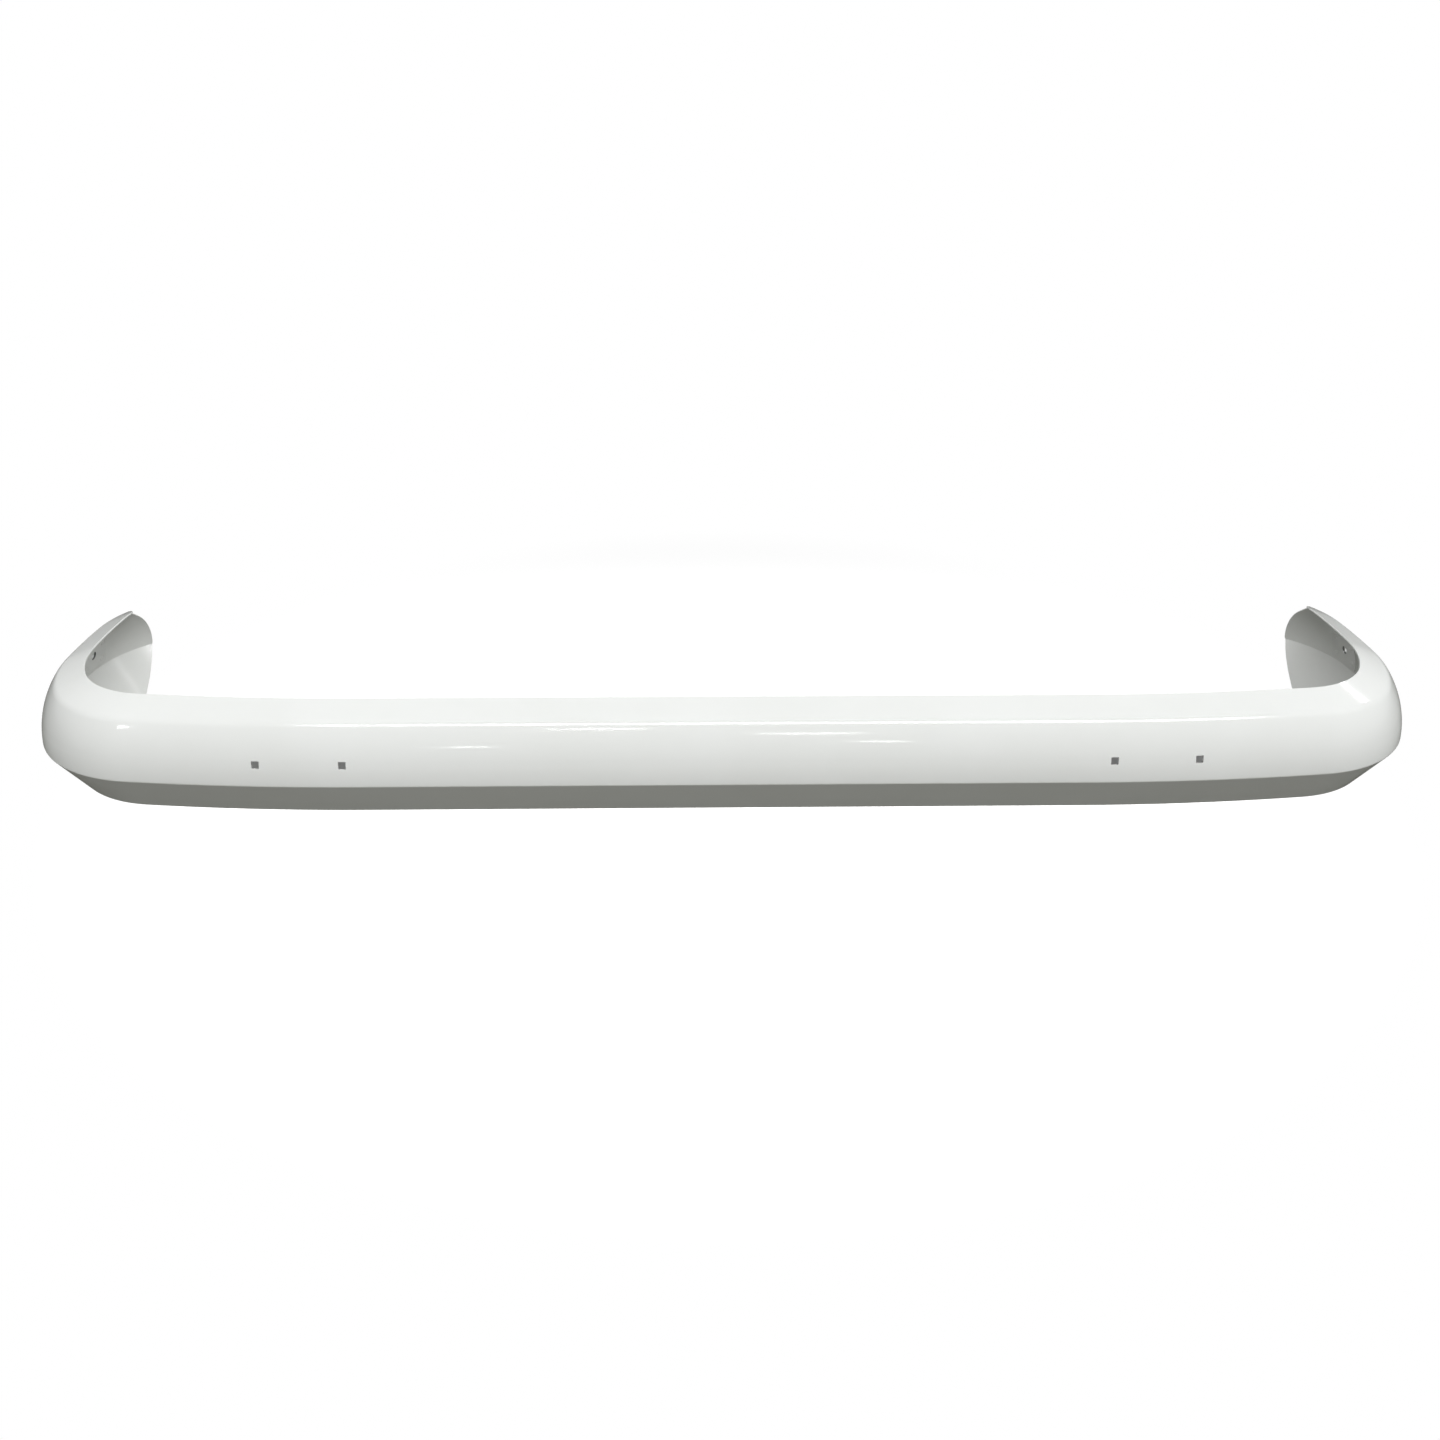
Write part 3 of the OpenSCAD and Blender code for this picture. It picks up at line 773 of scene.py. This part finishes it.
def lamp_object(name, data, place, aim, receivers, glossy, matt):
    """A lamp at a place that looks at another, lights only the receivers, and is met only by
    glossy or by matt reflections where the other is off."""
    lamp = bpy.data.objects.new(name, data)
    way = np.array(aim, float) - np.array(place, float)
    z = -way / np.linalg.norm(way)
    x = np.cross([0, 1, 0], z) if abs(z[2]) > 0.99 else np.cross([0, 0, 1], z)
    x /= np.linalg.norm(x)
    lamp.matrix_world = placed(x, np.cross(z, x), z, place)
    lamp.visible_camera = False
    lamp.visible_glossy = glossy
    lamp.visible_diffuse = matt
    lamp.light_linking.receiver_collection = receivers
    bpy.context.scene.collection.objects.link(lamp)


def panel(name, place, aim, width, height, radiance, receivers, glossy, matt):
    """A flat lamp whose face has that radiance: its power is pi times area times radiance."""
    data = bpy.data.lights.new(name, "AREA")
    data.shape = "RECTANGLE"
    data.size, data.size_y = width, height
    data.energy = math.pi * width * height * radiance
    lamp_object(name, data, place, aim, receivers, glossy, matt)


GLOW_TINT = (0.993, 1.0, 1.027)


def far_glow(name, azimuth, elevation, spread, strength, receivers):
    """A soft distant lamp as wide as its spread: only matt reflections meet it."""
    a, e = math.radians(azimuth), math.radians(elevation)
    data = bpy.data.lights.new(name, "SUN")
    data.angle = math.radians(spread)
    data.energy = strength
    data.color = GLOW_TINT
    place = (math.sin(a) * math.cos(e), -math.cos(a) * math.cos(e), math.sin(e))
    lamp_object(name, data, place, (0, 0, 0), receivers, glossy=False, matt=True)


blade_set = bpy.data.collections.new("blade pieces")
floor_set = bpy.data.collections.new("floor alone")
for thing in bpy.data.objects:
    if thing.type == "MESH":
        (floor_set if thing == floor else blade_set).objects.link(thing)

# Azimuth from the front towards +X, elevation and spread in degrees, and irradiance
GLOWS = {
    "front": (0, 42, 50, 0.88),
    "front left": (-50, 45, 50, 0.86),
    "front right": (50, 45, 50, 1.38),
    "left low": (-100, 12, 50, 0.26),
    "right": (100, 45, 50, 0.29),
    "right low": (100, 12, 50, 0.48),
    "overhead": (0, 88, 60, 0.22),
    "back low": (180, 12, 60, 1.60),
    "back": (180, 40, 60, 0.10),
}
# Centre, width, height (metres) and radiance of the lamps that only gloss meets
STRIPS = {
    "long tube": ((0.35, -0.975, 2.6), 3.3, 0.32, 36.0),
    "tube 1": ((-0.415, -2.70, 2.6), 0.30, 0.07, 36.0),
    "tube 2": ((0.435, -3.40, 2.6), 0.37, 0.07, 36.0),
    "tube 3": ((-1.30, -5.80, 2.6), 0.20, 0.14, 36.0),
    "tube 4": ((0.90, -4.93, 2.6), 0.16, 0.14, 36.0),
    "tube 5": ((-3.25, -2.70, 2.6), 0.45, 0.16, 36.0),
    "tube 6": ((-3.90, 0.0, 2.6), 1.0, 0.10, 5.0),
    "back tube": ((3.4, 1.7, 2.6), 0.5, 0.2, 20.0),
}
for name, (azimuth, elevation, width, strength) in GLOWS.items():
    far_glow(name, azimuth, elevation, width, strength, blade_set)
for name, (place, width, height, radiance) in STRIPS.items():
    below = (*place[:2], 0)
    panel(name, place, below, width, height, radiance, blade_set, glossy=True, matt=False)
FLOOR_LIGHT_AT, FLOOR_LIGHT_W, FLOOR_LIGHT_RADIANCE = (-0.05, -3.05, 2.15), 0.7, 205.0
panel(
    "floor light",
    FLOOR_LIGHT_AT,
    (0, 0, 0),
    FLOOR_LIGHT_W,
    FLOOR_LIGHT_W,
    FLOOR_LIGHT_RADIANCE,
    floor_set,
    glossy=False,
    matt=True,
)

AMBIENT = 0.13
ROOM_LOW, ROOM_HIGH = 0.28, 0.36


def studio_sky():
    """An even room: it is seen as plain white, gloss meets a wall that brightens upwards from
    the low to the high radiance, and everything matt gets the ambient one."""
    nodes = Nodes(bpy.data.worlds.new("studio"))
    way = nodes.add("ShaderNodeTexCoord", output=0)
    up = nodes.add("ShaderNodeSeparateXYZ", {}, way, output=2)
    wall = nodes.ramp(up, -0.2, 1.0) * (ROOM_HIGH - ROOM_LOW) + ROOM_LOW
    matt = nodes.add("ShaderNodeBackground", {}, Color=(1, 1, 1, 1), Strength=AMBIENT)
    gloss = nodes.add("ShaderNodeBackground", {}, Color=(1, 1, 1, 1), Strength=wall)
    white = nodes.add("ShaderNodeBackground", {}, Color=(1, 1, 1, 1))
    direct = nodes.add("ShaderNodeLightPath", output=0)
    shiny = nodes.add("ShaderNodeLightPath", output=3)
    room = nodes.add("ShaderNodeMixShader", {}, shiny, matt, gloss)
    seen = nodes.add("ShaderNodeMixShader", {}, direct, room, white)
    return nodes.finish(seen, "ShaderNodeOutputWorld")


bpy.context.scene.world = studio_sky()

SENSOR_MM, LENS_MM = 36, 35
CAMERA_AT = (-0.04317, -1.66, 0.88152)
PITCH, YAW, ROLL = math.radians(27.1045), math.radians(1.2056), math.radians(0.2274)
forward = np.array(
    [math.sin(YAW) * math.cos(PITCH), math.cos(YAW) * math.cos(PITCH), -math.sin(PITCH)]
)
level = np.array([math.cos(YAW), -math.sin(YAW), 0])
down = np.cross(forward, level)
right = level * math.cos(ROLL) - down * math.sin(ROLL)
up = -(level * math.sin(ROLL) + down * math.cos(ROLL))
camera_data = bpy.data.cameras.new("camera")
camera_data.sensor_width, camera_data.lens = SENSOR_MM, LENS_MM
camera = bpy.data.objects.new("camera", camera_data)
camera.matrix_world = placed(right, up, -forward, CAMERA_AT)
bpy.context.scene.collection.objects.link(camera)
bpy.context.scene.camera = camera
bpy.context.scene.view_settings.view_transform = "Standard"
